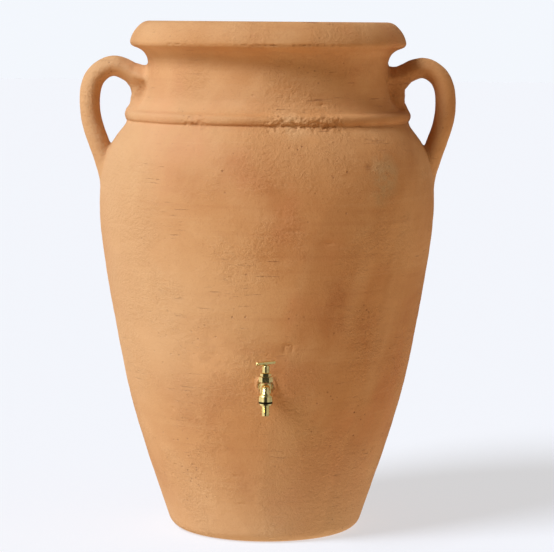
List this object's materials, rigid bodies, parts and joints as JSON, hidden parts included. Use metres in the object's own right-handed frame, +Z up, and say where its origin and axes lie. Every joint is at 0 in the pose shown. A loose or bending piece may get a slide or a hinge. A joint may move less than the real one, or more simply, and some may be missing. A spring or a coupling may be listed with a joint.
{
  "type": "rain barrel",
  "caption": "Amphora-shaped plastic rain barrel with strap handles, drop-in locking lid and a brass tap with a hose tail.",
  "frame": {"origin": "on the jar's axis, in the plane of the foot ring that stands on the ground", "axes": "+Z up along the jar's axis, -Y towards the tap, +X and -X through the two handles"},
  "size_m": [0.8368, 0.7844, 1.13],
  "materials": {
    "vessel": "matte moulded plastic that imitates hand-thrown terracotta",
    "lid": "matte moulded plastic in the jar's terracotta colour",
    "lock_plastic": "matte black moulded plastic",
    "brass": "cast and turned brass",
    "rubber": "black rubber",
    "fibre": "pressed red fibre sheet"
  },
  "bodies": {
    "root": {"vessel": "vessel", "tap_insert": "brass", "tap_body": "brass", "inlet_seal": "rubber", "bonnet": "brass", "bonnet_gasket": "fibre", "gland_nut": "brass", "gland_packing": "rubber"},
    "lid": {"lid": "lid"},
    "lock_ring_left": {"lid_screw_ring_left": "rubber"},
    "lock_screw_left": {"lid_screw_left": "lock_plastic"},
    "lock_ring_right": {"lid_screw_ring_right": "rubber"},
    "lock_screw_right": {"lid_screw_right": "lock_plastic"},
    "valve": {"jumper_valve": "brass", "seat_washer": "rubber", "washer_nut": "brass"},
    "tap_handle": {"spindle": "brass", "tee_handle": "brass", "handle_screw": "brass"},
    "hose_tail_set": {"hose_tail": "brass", "hose_washer": "rubber"},
    "union_nut_body": {"union_nut": "brass"}
  },
  "joints": [
    {"name": "lid_lift", "type": "slide", "parent": "root", "child": "lid", "axis": [0, 0, 1], "range_m": [0, 0.1]},
    {"name": "lock_left_rise", "type": "slide", "parent": "lid", "child": "lock_ring_left", "axis": [0, 0, 1], "range_m": [0, 0.00901]},
    {"name": "lock_left_turn", "type": "hinge", "parent": "lock_ring_left", "child": "lock_screw_left", "pos_m": [-0.23, 0, 1.107], "axis": [0, 0, 1], "range_deg": [0, 1080]},
    {"name": "lock_right_rise", "type": "slide", "parent": "lid", "child": "lock_ring_right", "axis": [0, 0, 1], "range_m": [0, 0.00901]},
    {"name": "lock_right_turn", "type": "hinge", "parent": "lock_ring_right", "child": "lock_screw_right", "pos_m": [0.23, 0, 1.107], "axis": [0, 0, 1], "range_deg": [0, 1080]},
    {"name": "valve_lift", "type": "slide", "parent": "root", "child": "valve", "axis": [0, 0, 1], "range_m": [0, 0.00501]},
    {"name": "handle_turn", "type": "hinge", "parent": "valve", "child": "tap_handle", "pos_m": [0, -0.367, 0.42], "axis": [0, 0, 1], "range_deg": [0, 720]},
    {"name": "tail_drop", "type": "slide", "parent": "root", "child": "hose_tail_set", "axis": [0, 0, -1], "range_m": [0, 0.0091]},
    {"name": "nut_turn", "type": "hinge", "parent": "hose_tail_set", "child": "union_nut_body", "pos_m": [0, -0.397, 0.345], "axis": [0, 0, -1], "range_deg": [0, 1800]}
  ],
  "couplings": [
    {"joint": "lock_left_rise", "follows": "lock_left_turn", "m_per_rad": 0.00047746},
    {"joint": "lock_right_rise", "follows": "lock_right_turn", "m_per_rad": 0.00047746},
    {"joint": "valve_lift", "follows": "handle_turn", "m_per_rad": 0.00039789},
    {"joint": "tail_drop", "follows": "nut_turn", "m_per_rad": 0.00028871}
  ]
}
